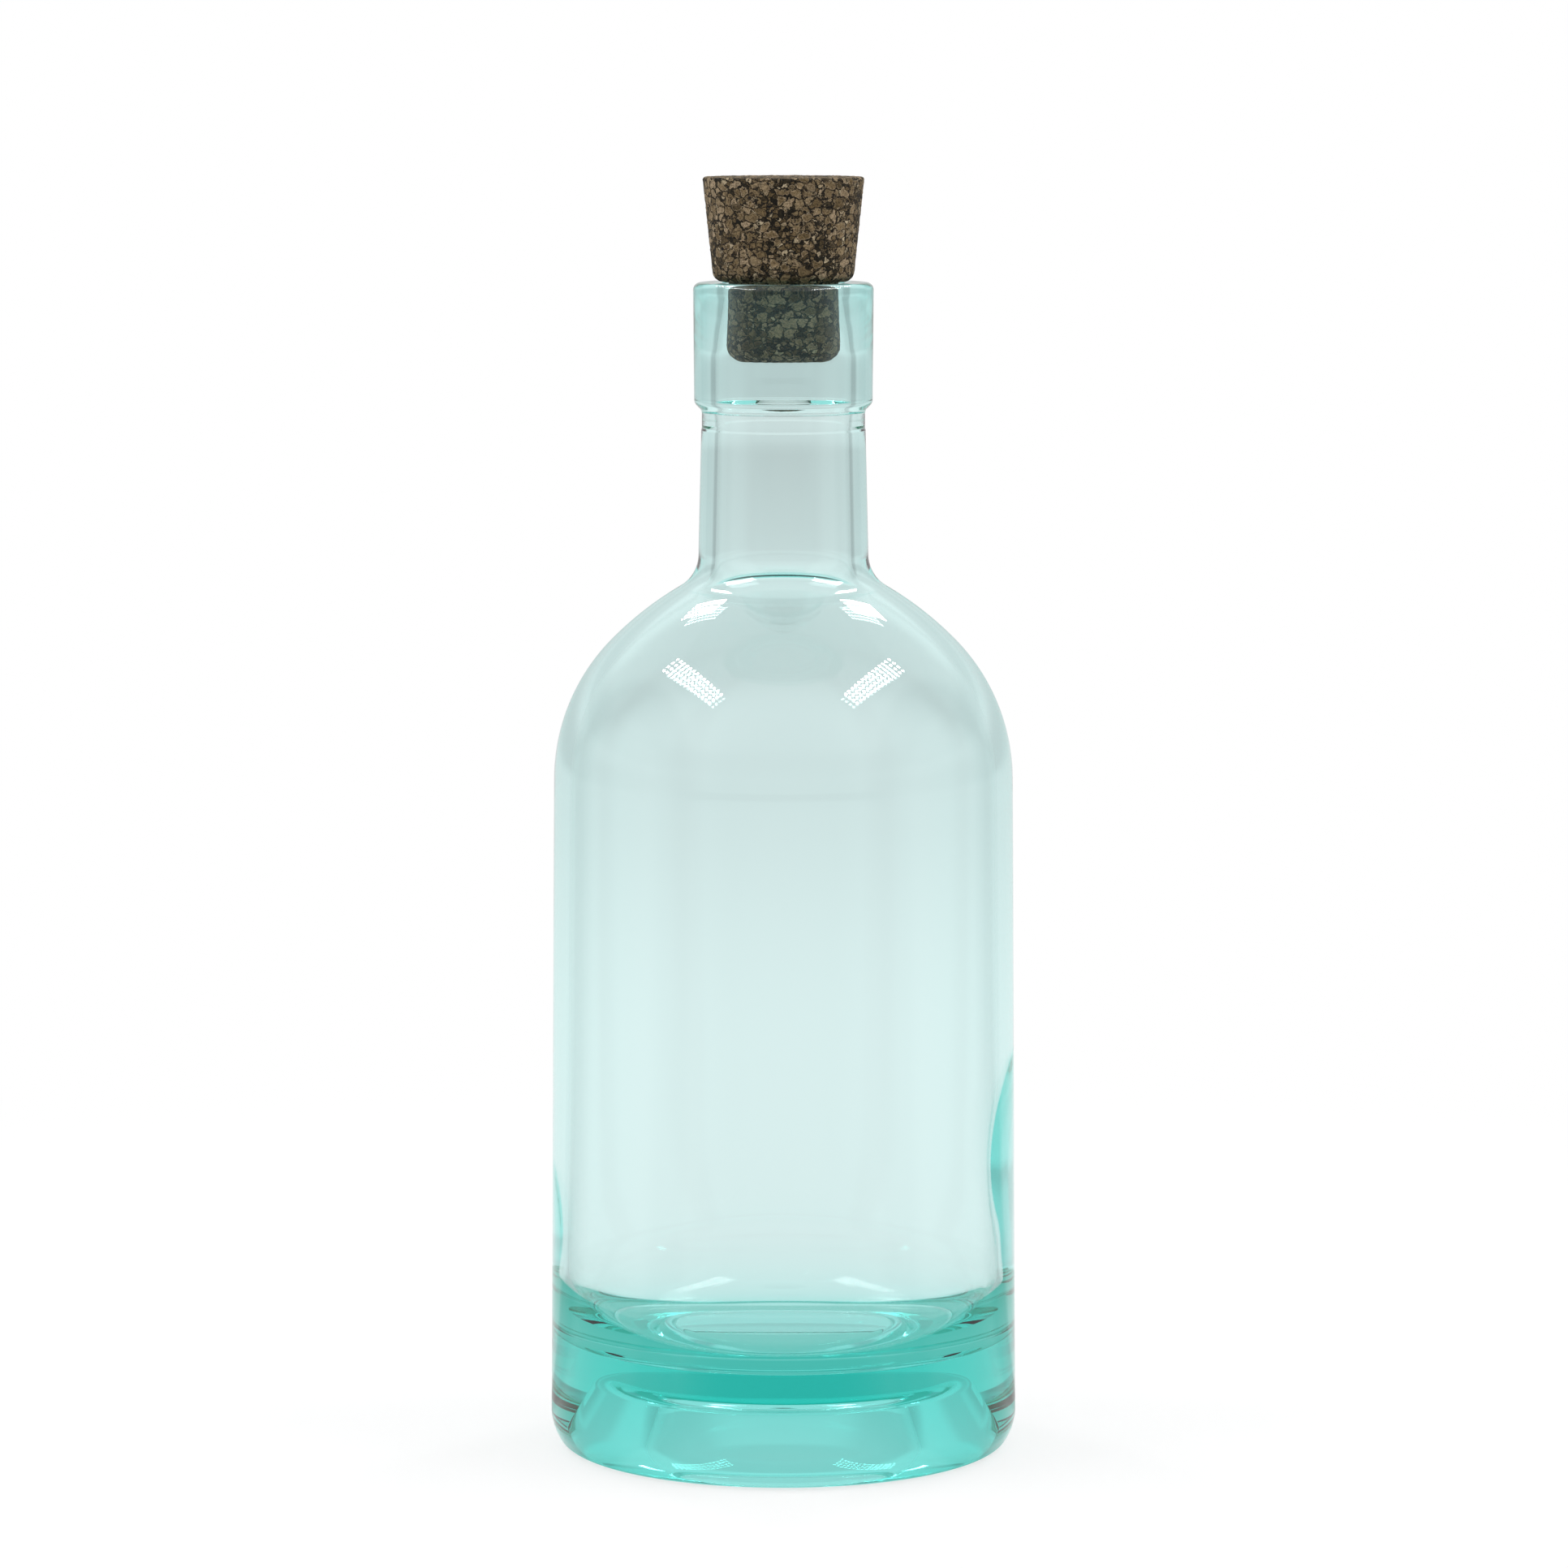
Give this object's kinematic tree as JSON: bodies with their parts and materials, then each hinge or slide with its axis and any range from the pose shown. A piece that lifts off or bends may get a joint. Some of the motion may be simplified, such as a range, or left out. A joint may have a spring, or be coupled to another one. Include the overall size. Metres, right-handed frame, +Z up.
{
  "type": "corked glass bottle",
  "caption": "Round clear aqua glass bottle with a thick base, domed shoulder and collared neck, closed by a tapered pressed-cork stopper that pulls straight out.",
  "frame": {"origin": "centre of the bearing ring under the base", "axes": "+Z up along the bottle's axis of revolution, towards the mouth; X and Y are free, because both pieces are round"},
  "size_m": [0.0812, 0.0812, 0.2206],
  "materials": {
    "aqua_glass": "clear gloss",
    "pressed_cork": "matt pressed granules"
  },
  "bodies": {
    "bottle": {"glass_bottle": "aqua_glass"},
    "stopper": {"cork_stopper": "pressed_cork"}
  },
  "joints": [
    {"name": "stopper_pull", "type": "slide", "parent": "bottle", "child": "stopper", "axis": [0, 0, 1], "range_m": [0, 0.05]}
  ]
}
